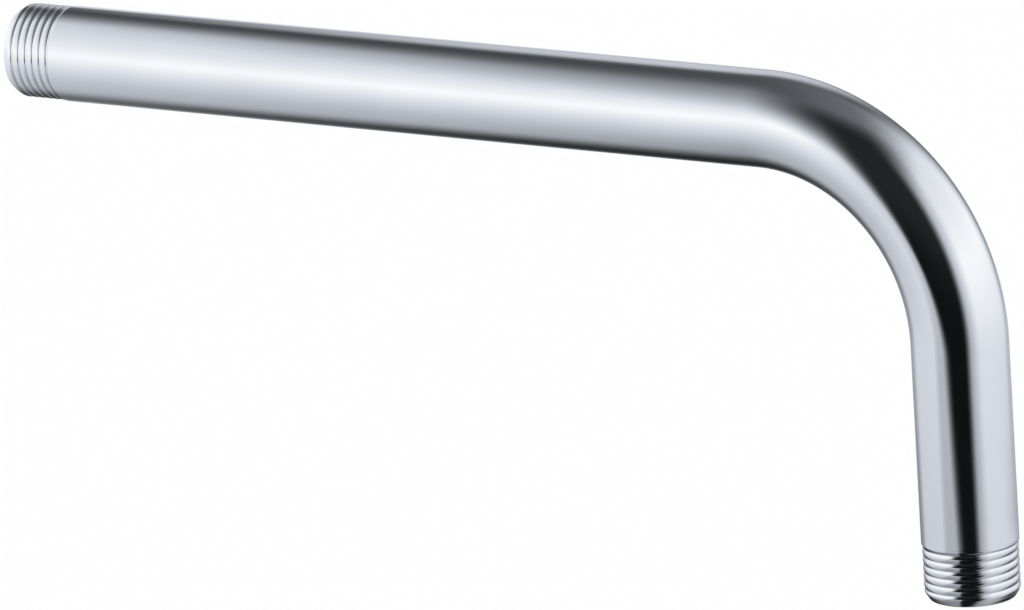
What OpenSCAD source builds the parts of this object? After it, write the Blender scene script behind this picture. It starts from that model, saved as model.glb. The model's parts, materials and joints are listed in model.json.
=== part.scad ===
// Shower arm: one chrome-plated pipe, bent once, with a half-inch pipe thread on each end.
// The origin is the centre of the wall end's face. The long leg runs out along +X, and the
// short leg comes down along -Z to the end that the shower head screws onto.

/* [Pipe] */
// Outside diameter of the pipe, that of half-inch pipe
pipe_od = 21.3; // [21.3:0.1:24]
// Diameter of the water passage
bore_d = 16.5; // [13:0.1:16.8]
// Length of the straight leg, from the wall end's face to the start of the bend
wall_leg = 189.5; // [60:0.5:400]
// Radius of the bend, at the middle of the pipe
bend_r = 46; // [30:0.5:120]
// Angle that the bend turns through
bend_turn = 90; // [30:5:105]
// Length of the straight leg below the bend, to the outlet's face
outlet_leg = 56.8; // [30:0.1:150]

/* [Threads] */
// Outside diameter of the half-inch pipe thread, over its crests
thread_od = 20.955; // [20.7:0.005:21]
// Distance from one crest to the next, 14 threads to the inch
thread_pitch = 1.814; // [1.5:0.001:2]
// Full crests on each end
thread_crests = 6; // [4:1:9]
// Angle between the two sides of a groove
thread_angle = 55; // [50:1:60]
// Length of the 45 degree chamfer that leads a nut onto the thread
lead_chamfer = 1.25; // [0.6:0.05:1.4]

/* [Edges] */
// Chamfer at each mouth of the water passage
mouth_chamfer = 0.4; // [0.1:0.05:0.5]
// Chamfer on the pipe's edge where the thread starts
shoulder_chamfer = 0.3; // [0.1:0.05:0.4]

/* [Hidden] */
$fn = 96;
pipe_r = pipe_od / 2;
bore_r = bore_d / 2;
crest_r = thread_od / 2;
// A crest and a root are each a sixth of the pitch wide, and each side takes a third
crest_w = thread_pitch / 6;
side_w = thread_pitch / 3;
slope = tan(thread_angle / 2);
root_r = crest_r - side_w / slope;
face_r = crest_r - lead_chamfer;
// Where the last groove's floor ends and its side climbs to the full pipe
shoulder_start = lead_chamfer + thread_crests * thread_pitch - side_w;
shoulder_w = (pipe_r - shoulder_chamfer - root_r) * slope;
shoulder_end = shoulder_start + shoulder_w + shoulder_chamfer;

// One crest and the groove behind it, as [radius, distance from the end face]
function crest_and_groove(start) = [
    [crest_r, start],
    [crest_r, start + crest_w],
    [root_r, start + crest_w + side_w],
    [root_r, start + 2 * crest_w + side_w]
];

// Outside of a leg, from its end face through the thread to the plain pipe
function leg_outside(length) = [
    [face_r, 0],
    for (i = [0 : thread_crests - 1])
        each crest_and_groove(lead_chamfer + i * thread_pitch),
    [pipe_r - shoulder_chamfer, shoulder_start + shoulder_w],
    [pipe_r, shoulder_end],
    [pipe_r, length]
];

// Inside of a leg, back from the bend to the chamfered mouth
function leg_inside(length) = [
    [bore_r, length],
    [bore_r, mouth_chamfer],
    [bore_r + mouth_chamfer, 0]
];

// A straight leg that stands on its end face, turned as one profile
module leg(length) {
    rotate_extrude()
        polygon(concat(leg_outside(length), leg_inside(length)));
}

// The bent stretch: the pipe's ring carried round the bend's centre, ending level with +Z
module bend() {
    rotate([90, 0, 0])
        rotate([0, 0, 90 - bend_turn])
            rotate_extrude(angle = bend_turn)
                translate([bend_r, 0])
                    difference() {
                        circle(r = pipe_r);
                        circle(r = bore_r);
                    }
}

// Puts its children where the bend ends, with +X along the pipe
module at_bend_end() {
    translate([wall_leg, 0, -bend_r])
        rotate([0, bend_turn, 0])
            translate([0, 0, bend_r])
                children();
}

module shower_arm() {
    color("gainsboro")
        union() {
            rotate([0, 90, 0])
                leg(wall_leg);
            translate([wall_leg, 0, -bend_r])
                bend();
            at_bend_end()
                translate([outlet_leg, 0, 0])
                    rotate([0, -90, 0])
                        leg(outlet_leg);
        }
}

shower_arm();
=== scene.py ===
# %% [markdown]
# # A chrome shower arm, step by step
#
# The object is one pipe, bent once, with a half-inch pipe thread cut on each end and a polished
# chrome plating all over. Its plain form comes from the CAD frame. This lesson makes the same pipe
# again as a finer surface: a true helical thread, soft edges where a buffing wheel has been, and a
# dull wall inside. Then it hangs the pipe in a light tent, because polished chrome has hardly any
# look of its own and shows what stands around it.
#
# Lengths are in metres, in the frame of the CAD: the middle of the wall end's face is the origin,
# the long leg runs out along +X, and the short leg comes down along -Z.

# %% Load the fixed frame
import json
import math

import bpy
import numpy as np
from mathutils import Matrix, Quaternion, Vector


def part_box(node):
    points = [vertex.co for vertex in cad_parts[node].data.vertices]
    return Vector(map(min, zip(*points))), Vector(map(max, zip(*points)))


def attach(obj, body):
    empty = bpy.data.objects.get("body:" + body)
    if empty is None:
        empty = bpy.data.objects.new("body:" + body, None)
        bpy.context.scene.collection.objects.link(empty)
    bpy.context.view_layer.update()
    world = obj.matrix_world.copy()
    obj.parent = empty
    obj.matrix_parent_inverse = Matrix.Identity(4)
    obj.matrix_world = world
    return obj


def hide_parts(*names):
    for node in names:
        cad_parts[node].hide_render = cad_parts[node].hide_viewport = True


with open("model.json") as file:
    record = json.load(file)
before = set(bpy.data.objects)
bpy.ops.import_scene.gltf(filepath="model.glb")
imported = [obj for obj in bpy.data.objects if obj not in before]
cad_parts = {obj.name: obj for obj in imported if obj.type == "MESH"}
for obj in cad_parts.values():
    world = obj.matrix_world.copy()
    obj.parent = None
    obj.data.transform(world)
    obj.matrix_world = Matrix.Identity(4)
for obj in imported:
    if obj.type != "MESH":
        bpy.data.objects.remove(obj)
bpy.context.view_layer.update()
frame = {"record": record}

# %% [markdown]
# ## What the frame already knows
#
# The pipe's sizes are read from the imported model, so this surface can't drift away from it. The
# box gives the pipe's outside radius and its two ends. The mounts give the radius over the
# thread's crests. Only what a box can't show is written here as a value: the bend's radius, the
# bore, the thread's pitch and the small chamfers.

# %% Sizes of the pipe
NODE = "shower_arm"
low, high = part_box(NODE)
mounts = {mount["name"]: mount for mount in frame["record"]["mounts"]}

PIPE_RADIUS = (high.y - low.y) / 2
CREST_RADIUS = mounts["inlet_thread"]["dims"]["r_mm"] / 1000
BORE_RADIUS = 0.00825
BEND_RADIUS = 0.046
WALL_LEG = high.x - PIPE_RADIUS - BEND_RADIUS
OUTLET_LEG = -low.z - BEND_RADIUS
BEND_LENGTH = BEND_RADIUS * math.pi / 2
PATH_LENGTH = WALL_LEG + BEND_LENGTH + OUTLET_LEG

print(f"pipe radius {PIPE_RADIUS * 1000:.3f} mm, crest radius {CREST_RADIUS * 1000:.4f} mm")
print(f"wall leg {WALL_LEG * 1000:.2f} mm, outlet leg {OUTLET_LEG * 1000:.2f} mm")
print(f"middle line {PATH_LENGTH * 1000:.2f} mm long")

# %% [markdown]
# ## The path
#
# Everything on this pipe is a distance along its middle line, an angle around it and a radius. A
# curve object with a bevel could sweep the pipe, but it couldn't carry a thread whose groove
# climbs as it goes round. So the middle line is written as a function: straight, a quarter
# circle, straight. At each distance it gives a point, the way along, and the way outwards from
# the bend. The third direction is always +Y, because the whole line lies in one plane.

# %% The middle line as a function of the distance along it
def middle_line(distance):
    """Point, way along and way outwards at each distance from the wall end.

    The turned angle is the distance past the first leg over the bend's radius, kept between
    nothing and a quarter turn. The bend's point lies at that angle on a circle, and what is left
    of the distance runs straight on, before the bend along +X and after it along -Z.
    """
    turned = np.clip((distance - WALL_LEG) / BEND_RADIUS, 0, math.pi / 2)
    before = np.minimum(distance, WALL_LEG)
    after = np.maximum(distance - WALL_LEG - BEND_LENGTH, 0)
    zero = np.zeros_like(distance)
    x = before + BEND_RADIUS * np.sin(turned)
    z = BEND_RADIUS * (np.cos(turned) - 1) - after
    point = np.stack([x, zero, z], axis=-1)
    along = np.stack([np.cos(turned), zero, -np.sin(turned)], axis=-1)
    outwards = np.stack([np.sin(turned), zero, np.cos(turned)], axis=-1)
    return point, along, outwards


middle, _, _ = middle_line(np.array([0.0, PATH_LENGTH]))
print("middle line runs from", middle[0].round(5), "to", middle[1].round(5))

# %% [markdown]
# ## The thread
#
# Half-inch pipe thread has 14 turns to the inch. The standard groove is sharp-sided and over a
# millimetre deep, but this arm's thread is buffed and plated like the rest of it, and in the
# light it looks like a stack of smooth round beads with a narrow valley between them. A
# displaced cylinder or a screw modifier could make it, but a formula keeps the pipe in one
# piece and gives exact slopes, which a mirror finish needs. Along the pipe one turn is the top
# of a circle. Turning round the pipe shifts that picture along it by one pitch for each full
# turn, and this shift is all that makes a helix.

# %% One turn of the thread, as a radius
PITCH = 0.0254 / 14
VALLEY_SLOPE = math.radians(36)
VALLEY_ROUNDING = 0.00022
BEAD_RADIUS = PITCH / 2 / math.sin(VALLEY_SLOPE)
THREAD_DEPTH = BEAD_RADIUS * (1 - math.cos(VALLEY_SLOPE))


def soft_max(first, second, size):
    """The larger of two values, with the corner between them rounded over that size.

    Where the two are closer than the size, a parabola is added that reaches a quarter of the
    size at the corner itself and fades to nothing at its ends.
    """
    closeness = np.maximum(size - np.abs(first - second), 0) / size
    return np.maximum(first, second) + closeness**2 * size / 4


def soft_min(first, second, size):
    """The smaller of two values, with the corner rounded: the mirror image of soft_max."""
    return -soft_max(-first, -second, size)


def bead(from_top):
    """Radius of one bead at a distance from its top: a circle's top, then straight on down."""
    arc = np.sqrt(np.maximum(BEAD_RADIUS**2 - from_top**2, 0)) - BEAD_RADIUS
    past = np.maximum(np.abs(from_top) - PITCH / 2, 0)
    return CREST_RADIUS + np.where(past > 0, -THREAD_DEPTH - past * math.tan(VALLEY_SLOPE), arc)


def thread_radius(turns):
    """Radius of the thread after that many turns from the top of a bead.

    The nearer bead and the one beyond the valley are both worked out, and the larger of the two
    counts, with the corner between them rounded.
    """
    from_top = np.abs((turns + 0.5) % 1 - 0.5) * PITCH
    return soft_max(bead(from_top), bead(PITCH - from_top), VALLEY_ROUNDING)


print(f"pitch {PITCH * 1000:.3f} mm, valleys {THREAD_DEPTH * 1000:.3f} mm deep")

# %% [markdown]
# ## From the thread to the pipe
#
# A nut has to find its way on, so the first turn is cut back by a chamfer. At the other end of
# the thread the last valley climbs into the full pipe, which is a little fatter than the beads.
# Both are plain slopes, and the pipe's radius is the softer kind of smallest and largest of
# them and the thread.

# %% Radius of the outside near an end
LEAD_SLOPE = math.radians(32)
LEAD_LENGTH = 0.0016
LEAD_SOFTNESS = 0.0003
FACE_RADIUS = CREST_RADIUS - LEAD_LENGTH * math.tan(LEAD_SLOPE)
SHOULDER_PLACE = 0.01225
SHOULDER_SLOPE = math.radians(50)
SHOULDER_SOFTNESS = 0.0003
FIRST_TOP = 0.0014
THREAD_END = 0.0132


def outside_radius(from_face, turns_round):
    """Radius of the outside at a distance from an end's face, and at a share of a turn round it.

    The lead chamfer rises from the face by its slope until it meets the beads. The shoulder
    rises from the last valley by its own slope until it meets the full pipe.
    """
    thread = thread_radius((from_face - FIRST_TOP) / PITCH + turns_round)
    chamfer = FACE_RADIUS + from_face * math.tan(LEAD_SLOPE)
    cut = soft_min(thread, chamfer, LEAD_SOFTNESS)
    climb = PIPE_RADIUS + (from_face - SHOULDER_PLACE) * math.tan(SHOULDER_SLOPE)
    shoulder = soft_min(climb, PIPE_RADIUS, SHOULDER_SOFTNESS)
    return soft_max(cut, shoulder, VALLEY_ROUNDING)


sample = np.linspace(0, THREAD_END, 5)
print("radius in mm from the face inwards:", (outside_radius(sample, 0) * 1000).round(2))

# %% [markdown]
# ## Rows of the grid
#
# The whole skin is one grid that closes on itself both ways, like the skin of a ring: out along
# the outside, round the rim at the outlet, back through the bore, and round the rim at the wall
# end. A row is a distance along the pipe and a radius. The rows are close where the thread is,
# even on the bend, and wide apart on the straight legs, where nothing changes.

# %% Rows along the outside, the rims and the bore
AROUND = 144
ROWS_PER_PITCH = 22
RIM_ROUNDING = 0.00015
MOUTH_CHAMFER = 0.0004
BEND_ROWS = 56
STRAIGHT_STEP = 0.006
ARC_POINTS = 5


def rounded_corners(points, radii):
    """A line through the points, with an arc of the given radius in place of each inner corner.

    The arc starts and ends at the radius times the tangent of half the turn before and after
    the corner. Its points are the corner's own, moved along a circle that touches both sides.
    """
    line = [points[0]]
    for before, corner, after, radius in zip(points, points[1:], points[2:], radii):
        way_in = (corner - before) / np.linalg.norm(corner - before)
        way_out = (after - corner) / np.linalg.norm(after - corner)
        turn = math.acos(np.clip(way_in @ way_out, -1, 1))
        start = corner - way_in * radius * math.tan(turn / 2)
        sideways = way_out - way_in * math.cos(turn)
        sideways = sideways / np.linalg.norm(sideways)
        angle = np.linspace(0, turn, ARC_POINTS)[:, None]
        line.extend(start + radius * (np.sin(angle) * way_in + (1 - np.cos(angle)) * sideways))
    line.append(points[-1])
    return np.array(line)


def rim_rows():
    """Rows from the lead chamfer over the end's face into the bore, as (distance, radius)."""
    on_chamfer = 2 * RIM_ROUNDING
    deep = 3 * MOUTH_CHAMFER
    corners = np.array([
        [on_chamfer, FACE_RADIUS + on_chamfer * math.tan(LEAD_SLOPE)],
        [0, FACE_RADIUS],
        [0, BORE_RADIUS + MOUTH_CHAMFER],
        [MOUTH_CHAMFER, BORE_RADIUS],
        [deep, BORE_RADIUS],
    ])
    return rounded_corners(corners, [RIM_ROUNDING] * 3)


rim = rim_rows()
thread_rows = np.arange(rim[0, 0], THREAD_END, PITCH / ROWS_PER_PITCH)[1:]
bend_rows = WALL_LEG + np.linspace(0, BEND_LENGTH, BEND_ROWS + 1)
first_leg = np.linspace(THREAD_END, WALL_LEG, round(WALL_LEG / STRAIGHT_STEP))
last_leg = np.linspace(
    WALL_LEG + BEND_LENGTH, PATH_LENGTH - THREAD_END, round(OUTLET_LEG / STRAIGHT_STEP)
)
plain_rows = np.concatenate([first_leg[:-1], bend_rows[:-1], last_leg])
print(len(thread_rows), "rows on each thread,", len(plain_rows), "between them,", len(rim), "on a rim")

# %% [markdown]
# ## The skin
#
# Each row now becomes a ring of points. Angle zero points away from the bend's middle and the
# angle grows towards +Y. A right-hand thread moves back by one pitch for a turn that way on the
# wall end and forward on the outlet, because there the distance is counted from the other face.
# START_TURN turns each thread round the pipe, so that its crests meet the chamfer where they do
# on the real one.
#
# The normals come from the grid's own neighbours, taken across the closing seams, and are given
# to the mesh. With normals worked out from a few flat faces, a mirror finish would show them.

# %% Rings of points and their normals
START_TURN_WALL = 0.94
START_TURN_OUTLET = 0.40


def skin():
    """Points of the closed grid, rows by columns, with each row's distance and place inside.

    A point is the middle line's point plus the radius times the way outwards turned by the
    angle: the cosine of it outwards and the sine of it along +Y.
    """
    angle = np.arange(AROUND) / AROUND * 2 * math.pi
    share = angle / (2 * math.pi)
    wall_thread = outside_radius(thread_rows[:, None], share - START_TURN_WALL)
    outlet_thread = outside_radius(thread_rows[:, None], -share - START_TURN_OUTLET)[::-1]
    bore_rows = np.concatenate([[rim[-1, 0]], plain_rows, [PATH_LENGTH - rim[-1, 0]]])[::-1]
    ones = np.ones(AROUND)
    parts = [
        (thread_rows, wall_thread, 0),
        (plain_rows, PIPE_RADIUS * np.ones((len(plain_rows), AROUND)), 0),
        (PATH_LENGTH - thread_rows[::-1], outlet_thread, 0),
        (PATH_LENGTH - rim[:, 0], rim[:, 1:] * ones, 0),
        (bore_rows[1:-1], BORE_RADIUS * np.ones((len(bore_rows) - 2, AROUND)), 1),
        (rim[::-1, 0], rim[::-1, 1:] * ones, 0),
    ]
    distance = np.concatenate([part[0] for part in parts])
    radius = np.concatenate([part[1] for part in parts])
    inside = np.concatenate([np.full(len(part[0]), float(part[2])) for part in parts])
    point, _, outwards = middle_line(distance)
    sideways = np.array([0.0, 1.0, 0.0])
    spoke = np.cos(angle)[None, :, None] * outwards[:, None, :]
    spoke = spoke + np.sin(angle)[None, :, None] * sideways
    return point[:, None, :] + radius[:, :, None] * spoke, distance, inside


def grid_normals(grid):
    """Unit normals of a grid that closes both ways: the cross product of its two slopes.

    Each slope weighs the step before and the step after by the other's length, so that rows of
    uneven spacing still give the slope at the point itself.
    """
    slopes = []
    for axis in (0, 1):
        back = grid - np.roll(grid, 1, axis)
        ahead = np.roll(grid, -1, axis) - grid
        back_length = np.linalg.norm(back, axis=-1, keepdims=True)
        ahead_length = np.linalg.norm(ahead, axis=-1, keepdims=True)
        slopes.append(back / back_length * ahead_length + ahead / ahead_length * back_length)
    normal = np.cross(slopes[1], slopes[0])
    return normal / np.linalg.norm(normal, axis=-1, keepdims=True)


grid, row_distance, row_inside = skin()
normals = grid_normals(grid)
rows, columns = grid.shape[:2]
print("grid of", rows, "rows by", columns, "columns,", rows * columns * 2, "triangles")

# %% [markdown]
# ## The mesh
#
# Four neighbours of the grid make a face. The UV map runs once round the pipe and once along
# it, in pipe lengths, so that a finish can follow the metal round the bend. A second layer, an
# attribute called "bare", says how far a point lies inside the bore, where the plating ends.

# %% Build the mesh from the grid
def closed_grid_mesh(name, grid, normals):
    """A mesh of quads over a grid that closes both ways, smooth, with the given normals."""
    rows, columns = grid.shape[:2]
    index = np.arange(rows * columns).reshape(rows, columns)
    right = np.roll(index, -1, 1)
    below = np.roll(index, -1, 0)
    diagonal = np.roll(below, -1, 1)
    quads = np.stack([index, right, diagonal, below], axis=-1).reshape(-1, 4)
    mesh = bpy.data.meshes.new(name)
    mesh.vertices.add(rows * columns)
    mesh.vertices.foreach_set("co", grid.astype(np.float32).ravel())
    mesh.loops.add(quads.size)
    mesh.loops.foreach_set("vertex_index", quads.astype(np.int32).ravel())
    mesh.polygons.add(len(quads))
    mesh.polygons.foreach_set("loop_start", np.arange(0, quads.size, 4, dtype=np.int32))
    mesh.update(calc_edges=True)
    mesh.polygons.foreach_set("use_smooth", np.ones(len(quads), dtype=bool))
    mesh.normals_split_custom_set_from_vertices(normals.reshape(-1, 3))
    return mesh


def add_pipe_map(mesh, rows, columns, distance):
    """UV map of the grid: u is the share of a turn, and v the distance over the path's length."""
    row, column = np.meshgrid(np.arange(rows), np.arange(columns), indexing="ij")
    u = np.stack([column, column + 1, column + 1, column], axis=-1) / columns
    v_here = distance[row] / PATH_LENGTH
    v_next = np.roll(distance, -1)[row] / PATH_LENGTH
    v = np.stack([v_here, v_here, v_next, v_next], axis=-1)
    layer = mesh.uv_layers.new(name="pipe")
    layer.data.foreach_set("uv", np.stack([u, v], axis=-1).astype(np.float32).ravel())


pipe_mesh = closed_grid_mesh("chrome_pipe", grid, normals)
add_pipe_map(pipe_mesh, rows, columns, row_distance)
pipe = bpy.data.objects.new("chrome_pipe", pipe_mesh)
bpy.context.scene.collection.objects.link(pipe)

bare = pipe_mesh.attributes.new("bare", "FLOAT", "POINT")
bare.data.foreach_set("value", np.repeat(row_inside, columns).astype(np.float32))

outward = np.einsum("ij,ij->i", np.array([f.normal for f in pipe_mesh.polygons[:columns]]),
                    normals[0])
print("faces point outwards:", bool((outward > 0).all()))
print("pipe box", [round(v, 5) for v in (*grid.min((0, 1)), *grid.max((0, 1)))])

# %% [markdown]
# ## Writing shader maths
#
# A finish is arithmetic on numbers that change over the surface. In a node editor each plus is
# a box. Here a small class wraps a socket and lets Python's own operators add those boxes, so
# that a finish reads like its formula. Every other node comes from one method, which sets the
# node's settings first and then its inputs.

# %% A socket that Python can do sums with
class Wire:
    """One output socket of a node tree, with + - * / and ** worked by Math nodes."""

    def __init__(self, graph, socket):
        self.graph = graph
        self.socket = socket

    def maths(self, operation, first, second):
        return self.graph.node("ShaderNodeMath", {"operation": operation}, {0: first, 1: second})

    def __add__(self, other):
        return self.maths("ADD", self, other)

    def __sub__(self, other):
        return self.maths("SUBTRACT", self, other)

    def __rsub__(self, other):
        return self.maths("SUBTRACT", other, self)

    def __mul__(self, other):
        return self.maths("MULTIPLY", self, other)

    def __truediv__(self, other):
        return self.maths("DIVIDE", self, other)

    def __pow__(self, power):
        return self.maths("POWER", self, power)

    __radd__ = __add__
    __rmul__ = __mul__


class Graph:
    """A node tree, emptied, with the one way to add a node to it."""

    def __init__(self, tree):
        self.tree = tree
        tree.nodes.clear()

    def node(self, kind, settings=None, inputs=None, outlet=0):
        """Adds a node, sets its settings and then its inputs, and gives one of its outputs."""
        made = self.tree.nodes.new(kind)
        for name, value in (settings or {}).items():
            setattr(made, name, value)
        for name, value in (inputs or {}).items():
            if isinstance(value, Wire):
                self.tree.links.new(value.socket, made.inputs[name])
            else:
                made.inputs[name].default_value = value
        return Wire(self, made.outputs[outlet]) if len(made.outputs) else made

    def smooth(self, value, start, end, low=0.0, high=1.0):
        """Runs from low to high, slowly at both ends, as the value goes from start to end."""
        return self.node(
            "ShaderNodeMapRange",
            {"interpolation_type": "SMOOTHSTEP"},
            {"Value": value, "From Min": start, "From Max": end, "To Min": low, "To Max": high},
        )

    def blend(self, first, second, share):
        """A number between two numbers."""
        return self.node("ShaderNodeMix", {"data_type": "FLOAT"}, {0: share, 2: first, 3: second})

    def blend_colour(self, first, second, share, how="MIX"):
        """A colour between two colours, or their product where how is MULTIPLY."""
        settings = {"data_type": "RGBA", "blend_type": how}
        return self.node("ShaderNodeMix", settings, {0: share, 6: first, 7: second}, 2)

    def vector(self, operation, first, second=None):
        """A Vector Math node; the dot product is a number, the others are vectors."""
        inputs = {0: first} if second is None else {0: first, 1: second}
        outlet = 1 if operation == "DOT_PRODUCT" else 0
        return self.node("ShaderNodeVectorMath", {"operation": operation}, inputs, outlet)


def new_material(name):
    """An empty material and its graph."""
    material = bpy.data.materials.new(name)
    material.use_nodes = True
    return material, Graph(material.node_tree)


print("operators ready:", [name for name in ("__add__", "__rsub__", "__pow__") if hasattr(Wire, name)])

# %% [markdown]
# ## Polished chrome
#
# Chrome is a thin, hard, slightly blue metal over nickel. A single roughness makes it look like
# a ball in a computer. Real plating has three small faults that the eye reads as real: the
# buffing wheel leaves hazier and clearer patches, it leaves hair-fine lines along the pipe, and
# the surface under it is never perfectly true, so long reflections waver a little. Each is a
# noise texture at its own scale. Inside the bore the plating thins out after a few millimetres
# and the drawn metal shows, darker and satin, with lines along the pipe.

# %% The finish of the pipe
CHROME_COLOUR = (0.82, 0.83, 0.85, 1)
CHROME_HAZE_COLOUR = (0.80, 0.81, 0.83, 1)
BARE_METAL_COLOUR = (0.42, 0.41, 0.40, 1)
CLEAR_ROUGHNESS = 0.055
HAZY_ROUGHNESS = 0.10
BARE_ROUGHNESS = 0.38
LINE_ROUGHNESS = 0.02
DRAWN_LINE_ROUGHNESS = 0.2
HAZE_PATCHES_PER_METRE = 45
LINES_AROUND = 260
LINES_ALONG = 3
WAVER_PER_METRE = 22
WAVER_HEIGHT = 0.00004
DRAWN_LINE_HEIGHT = 0.00002


def noise(graph, where, scale, detail=3.0):
    """Soft random value from 0 to 1 that changes over 1/scale of the given coordinates."""
    inputs = {"Vector": where, "Scale": scale, "Detail": detail, "Roughness": 0.5}
    return graph.node("ShaderNodeTexNoise", {"noise_dimensions": "3D"}, inputs)


def chrome_material():
    """Polished chrome outside, and bare drawn metal where the bare attribute is one."""
    material, graph = new_material("polished_chrome")
    place = graph.node("ShaderNodeTexCoord", outlet=3)
    pipe_map = graph.node("ShaderNodeUVMap", {"uv_map": "pipe"})
    bare = graph.node("ShaderNodeAttribute", {"attribute_name": "bare"}, outlet=2)

    stretched = graph.vector("MULTIPLY", pipe_map, (LINES_AROUND, LINES_ALONG, 1))
    lines = noise(graph, stretched, 1.0)
    haze = graph.smooth(noise(graph, place, HAZE_PATCHES_PER_METRE), 0.35, 0.7)

    polished = graph.blend(CLEAR_ROUGHNESS, HAZY_ROUGHNESS, haze) + LINE_ROUGHNESS * (lines - 0.5)
    drawn = BARE_ROUGHNESS + DRAWN_LINE_ROUGHNESS * (lines - 0.5)
    roughness = graph.blend(polished, drawn, bare)

    plated = graph.blend_colour(CHROME_COLOUR, CHROME_HAZE_COLOUR, haze)
    colour = graph.blend_colour(plated, BARE_METAL_COLOUR, bare)

    waver = WAVER_HEIGHT * noise(graph, place, WAVER_PER_METRE, 1.0)
    drawn_lines = DRAWN_LINE_HEIGHT * lines * bare
    normal = graph.node(
        "ShaderNodeBump",
        inputs={"Strength": 1.0, "Distance": 1.0, "Height": waver + drawn_lines},
    )

    surface = graph.node(
        "ShaderNodeBsdfPrincipled",
        inputs={"Base Color": colour, "Metallic": 1.0, "Roughness": roughness, "Normal": normal},
    )
    graph.node("ShaderNodeOutputMaterial", inputs={"Surface": surface})
    return material


pipe_mesh.materials.append(chrome_material())
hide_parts(NODE)
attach(pipe, "root")

# %% [markdown]
# ## The light tent
#
# A photographer who shoots chrome hangs it in a tent of white cloth, lit from outside, and looks
# in through a slit. The white walls give the long soft bands on the metal and the slit gives the
# black line between them. Area lights could stand for the walls, but their hard edges would
# show as rectangles, and a world texture is endlessly far away, while in a real tent the
# reflections shift from one end of the pipe to the other. So the tent is a real surface, a ball
# around the object that gives off light, and only reflections see it.
#
# Each part of the tent is a brightness as the eye sees it, from 0 to 1. An edge between two
# parts is a plane through the tent's middle: how far a direction lies past it is a dot product.

# %% The shape of the tent
TENT_MIDDLE = Vector((0.100, 0.0, -0.080))
TENT_RADIUS = 0.45
TENT_RINGS = 48


def ball_mesh(name, middle, radius, rings):
    """A ball as a grid of longitude by latitude, closed by one point at each pole."""
    latitude = np.linspace(-math.pi / 2, math.pi / 2, rings + 1)[1:-1]
    longitude = np.arange(2 * rings) / rings * math.pi
    east, north = np.meshgrid(longitude, latitude)
    body = np.stack([np.cos(north) * np.cos(east), np.cos(north) * np.sin(east), np.sin(north)], -1)
    points = np.vstack([body.reshape(-1, 3), [[0, 0, -1], [0, 0, 1]]]) * radius + np.array(middle)
    index = np.arange(body.shape[0] * body.shape[1]).reshape(body.shape[:2])
    right = np.roll(index, -1, 1)
    quads = np.stack([index[:-1], right[:-1], right[1:], index[1:]], -1).reshape(-1, 4)
    south = np.full(len(longitude), index.size)
    bottom = np.stack([south, right[0], index[0]], -1)
    top = np.stack([south + 1, index[-1], right[-1]], -1)
    mesh = bpy.data.meshes.new(name)
    mesh.from_pydata(points.tolist(), [], quads.tolist() + bottom.tolist() + top.tolist())
    mesh.shade_smooth()
    return mesh


tent = bpy.data.objects.new("light_tent", ball_mesh("light_tent", TENT_MIDDLE, TENT_RADIUS, TENT_RINGS))
bpy.context.scene.collection.objects.link(tent)
tent.visible_camera = False
tent.visible_diffuse = False
tent.visible_shadow = False
print("tent of", len(tent.data.polygons), "faces round", tuple(round(v, 3) for v in TENT_MIDDLE))

# %% The light of the tent
LAMP_HEIGHT = 0.30
LAMP_FALL = 0.29
LAMP_ROUND = 0.04
COOL_CLOTH = (0.965, 1.0, 1.08, 1)
WHITE_CLOTH = (1.0, 1.0, 1.01, 1)
TENT_STRENGTH = 1.19


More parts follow.
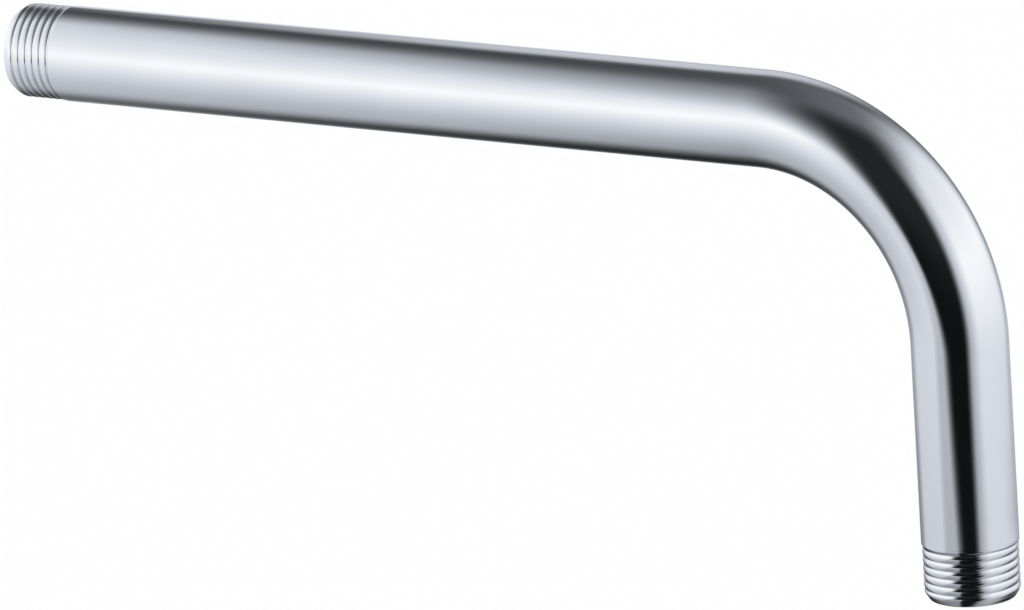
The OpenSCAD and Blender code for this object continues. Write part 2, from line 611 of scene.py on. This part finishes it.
def tent_material():
    """Brightness of the tent in each direction from its middle, as light given off."""
    material, graph = new_material("tent_cloth")
    place = graph.node("ShaderNodeTexCoord", outlet=3)
    direction = graph.vector("NORMALIZE", graph.vector("SUBTRACT", place, tuple(TENT_MIDDLE)))
    height = graph.node("ShaderNodeSeparateXYZ", inputs={0: direction}, outlet=2)

    def right_of(azimuth):
        """How far a direction lies to the right of the upright plane at that azimuth."""
        angle = math.radians(azimuth)
        return graph.vector("DOT_PRODUCT", direction, (math.cos(angle), math.sin(angle), 0))

    def towards(azimuth, lean=0.0):
        """How far a direction lies towards that azimuth, leaned down by an angle."""
        angle = math.radians(azimuth)
        down = math.radians(lean)
        flat = (math.sin(angle) * math.cos(down), -math.cos(angle) * math.cos(down), -math.sin(down))
        return graph.vector("DOT_PRODUCT", direction, flat)

    def slanted(azimuth, climb):
        """How far a direction lies right of and below a line that climbs to the right."""
        angle = math.radians(azimuth)
        rise = math.radians(climb)
        normal = (math.cos(angle) * math.sin(rise), math.sin(angle) * math.sin(rise), -math.cos(rise))
        return graph.vector("DOT_PRODUCT", direction, normal)

    def past(value, softness, edge=0.0):
        return graph.smooth(value, edge - softness, edge + softness)

    off_lamp = (height - LAMP_HEIGHT) ** 2 + LAMP_ROUND**2
    lamp = 1 + LAMP_FALL * LAMP_ROUND - LAMP_FALL * off_lamp**0.5

    shade = graph.blend(0.21, 0.44, past(right_of(20), 0.7))

    patch_across = (right_of(-161) / 0.45) ** 2
    patch_up = ((height - 0.53) / 0.44) ** 2
    patch = graph.smooth(1 - patch_across - patch_up, 0.0, 1.0)
    back = 0.28 + 0.49 * patch
    shade = graph.blend(shade, back, past(towards(-170, 37), 0.15))

    slit = graph.blend(0.067, 0.14, past(height, 0.28, 0.21))
    slit_mask = past(towards(35, 21), 0.23) * past(towards(30), 0.1, 0.1)
    shade = graph.blend(shade, slit, slit_mask)

    floor_mask = 1 - past(-1 * slanted(-3.3, -31), 0.11)
    shade = graph.blend(shade, 0.83 * lamp, floor_mask)

    left_edge = -1 * slanted(0, 72)
    left_mask = past(left_edge, 0.11) * past(right_of(-112), 0.26) * past(towards(-67, 18), 0.4)
    left_tone = 0.985 * lamp * (0.86 + 0.14 * past(left_edge, 0.14, 0.14))
    shade = graph.blend(shade, left_tone, left_mask)

    right_edge = right_of(59.4)
    right_mask = past(right_edge, 0.12) * (1 - past(right_of(165), 0.48)) * past(towards(108, 35), 0.22)
    right_tone = 0.975 * lamp * (0.74 + 0.26 * past(right_edge, 0.2, 0.2))
    shade = graph.blend(shade, right_tone, right_mask)

    low_back = past(-1 * height, 0.35, 0.45) * (1 - past(right_of(-114), 0.49)) * past(towards(-150), 0.3)
    shade = graph.blend(shade, 0.10, low_back)

    low_slit = past(right_of(22), 0.06) * (1 - past(right_of(68), 0.08)) * past(-1 * height, 0.06, 0.33)
    shade = graph.blend(shade, 0.07, low_slit)

    light = ((shade + 0.055) / 1.055) ** 2.4
    tint = graph.blend_colour(COOL_CLOTH, WHITE_CLOTH, graph.smooth(shade, 0.8, 1.0))
    colour = graph.blend_colour(light, tint, 1.0, "MULTIPLY")
    glow = graph.node("ShaderNodeEmission", inputs={"Color": colour, "Strength": TENT_STRENGTH})
    graph.node("ShaderNodeOutputMaterial", inputs={"Surface": glow})
    return material


tent.data.materials.append(tent_material())
print("tent lit from height", LAMP_HEIGHT, "with strength", TENT_STRENGTH)

# %% [markdown]
# ## Floor and room
#
# The photo's ground is white paper. Here it is a wide pale floor well below the tent, evenly
# lit by a plain white sky, so that nothing of the tent's shade falls on it.

# %% A pale floor and an even sky
FLOOR_HEIGHT = -0.62
FLOOR_HALF = 12.0
SKY_STRENGTH = 1.1

SQUARE = ((-1, -1), (1, -1), (1, 1), (-1, 1))
floor_corners = [(x * FLOOR_HALF, y * FLOOR_HALF, FLOOR_HEIGHT) for x, y in SQUARE]
floor_mesh = bpy.data.meshes.new("pale_floor")
floor_mesh.from_pydata(floor_corners, [], [(0, 1, 2, 3)])
floor = bpy.data.objects.new("pale_floor", floor_mesh)
bpy.context.scene.collection.objects.link(floor)

paper, paper_graph = new_material("white_paper")
paper_surface = paper_graph.node(
    "ShaderNodeBsdfPrincipled", inputs={"Base Color": (0.9, 0.9, 0.9, 1), "Roughness": 0.9}
)
paper_graph.node("ShaderNodeOutputMaterial", inputs={"Surface": paper_surface})
floor_mesh.materials.append(paper)

world = bpy.data.worlds.new("even_sky")
world.use_nodes = True
bpy.context.scene.world = world
sky_graph = Graph(world.node_tree)
sky = sky_graph.node("ShaderNodeBackground", inputs={"Color": (1, 1, 1, 1), "Strength": SKY_STRENGTH})
sky_graph.node("ShaderNodeOutputWorld", inputs={"Surface": sky})
print("floor at", FLOOR_HEIGHT, "m")

# %% [markdown]
# ## The camera
#
# The photo was taken from far off with a long lens: the two ends of the pipe are drawn at nearly
# the same scale. The camera stands to the right of the short leg and a little above, and is
# turned slightly round its own axis, so that the long leg runs downhill in the picture.

# %% Place the camera
CAMERA_AZIMUTH = 31.83
CAMERA_ELEVATION = 15.36
CAMERA_DISTANCE = 3.222
CAMERA_ROLL = -3.49
CAMERA_LENS = 516.8
LOOK_FROM = Vector((0.1231, 0.0, -0.0461))
LOOK_AT = Vector((0.1228, 0.0, -0.0480))
PICTURE = (1024, 610)

azimuth = math.radians(CAMERA_AZIMUTH)
elevation = math.radians(CAMERA_ELEVATION)
backwards = Vector((
    math.sin(azimuth) * math.cos(elevation),
    -math.cos(azimuth) * math.cos(elevation),
    math.sin(elevation),
))
camera_data = bpy.data.cameras.new("photo_camera")
camera_data.lens = CAMERA_LENS
camera_data.clip_start = 0.1
camera_data.clip_end = 60
camera = bpy.data.objects.new("photo_camera", camera_data)
bpy.context.scene.collection.objects.link(camera)
bpy.context.scene.camera = camera
camera.location = LOOK_FROM + backwards * CAMERA_DISTANCE
level = (LOOK_AT - camera.location).to_track_quat("-Z", "Y")
roll = Quaternion((0, 0, 1), math.radians(CAMERA_ROLL))
camera.rotation_mode = "QUATERNION"
camera.rotation_quaternion = level @ roll

bpy.context.scene.view_settings.view_transform = "Standard"


def seen_at(point):
    """Pixel of the picture where a point shows: its place across and down, over its depth."""
    local = (level @ roll).inverted() @ (Vector(point) - camera.location)
    scale = CAMERA_LENS / camera_data.sensor_width * PICTURE[0]
    across = PICTURE[0] / 2 + scale * local.x / -local.z
    down = PICTURE[1] / 2 - scale * local.y / -local.z
    return round(across, 1), round(down, 1)


print("wall end's middle is seen at", seen_at((0, 0, 0)))
print("outlet's middle is seen at", seen_at((high.x - PIPE_RADIUS, 0, low.z)))
